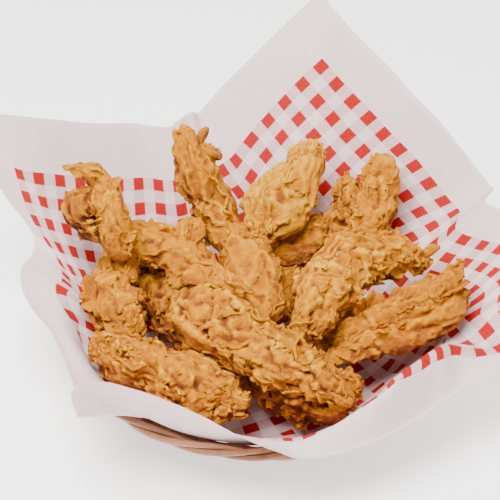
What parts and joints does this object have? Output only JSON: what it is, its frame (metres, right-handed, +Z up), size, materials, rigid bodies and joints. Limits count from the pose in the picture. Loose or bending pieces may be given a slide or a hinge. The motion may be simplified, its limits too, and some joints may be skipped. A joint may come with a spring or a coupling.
{
  "type": "basket of chicken tenders",
  "caption": "Round shallow wicker basket lined with a folded square of checked food paper and heaped with crumbed, fried chicken tenders.",
  "frame": {"origin": "centre of the basket's flat underside, on the table", "axes": "+Z up, +Y away from the side the picture was taken from, +X to that side's right"},
  "size_m": [0.363, 0.3207, 0.1416],
  "materials": {
    "wicker": "satin",
    "paper": "matte",
    "crust": "rough"
  },
  "bodies": {
    "root": {"basket_base": "wicker", "basket_wall": "wicker", "rim_cane_1": "wicker", "rim_cane_2": "wicker", "rim_cane_3": "wicker", "paper_liner": "paper", "tender_bottom_left": "crust", "tender_bottom_right": "crust", "tender_bottom_front": "crust", "tender_hollow_lower": "crust", "tender_hollow_left": "crust", "tender_hollow_upper": "crust", "tender_front": "crust", "tender_front_scrap": "crust", "tender_front_left": "crust", "tender_front_right": "crust", "tender_left": "crust", "tender_middle": "crust", "tender_upper_left": "crust", "tender_back": "crust", "tender_back_right": "crust", "tender_standing": "crust", "tender_arched": "crust", "tender_long": "crust", "tender_top_left": "crust"}
  },
  "joints": []
}
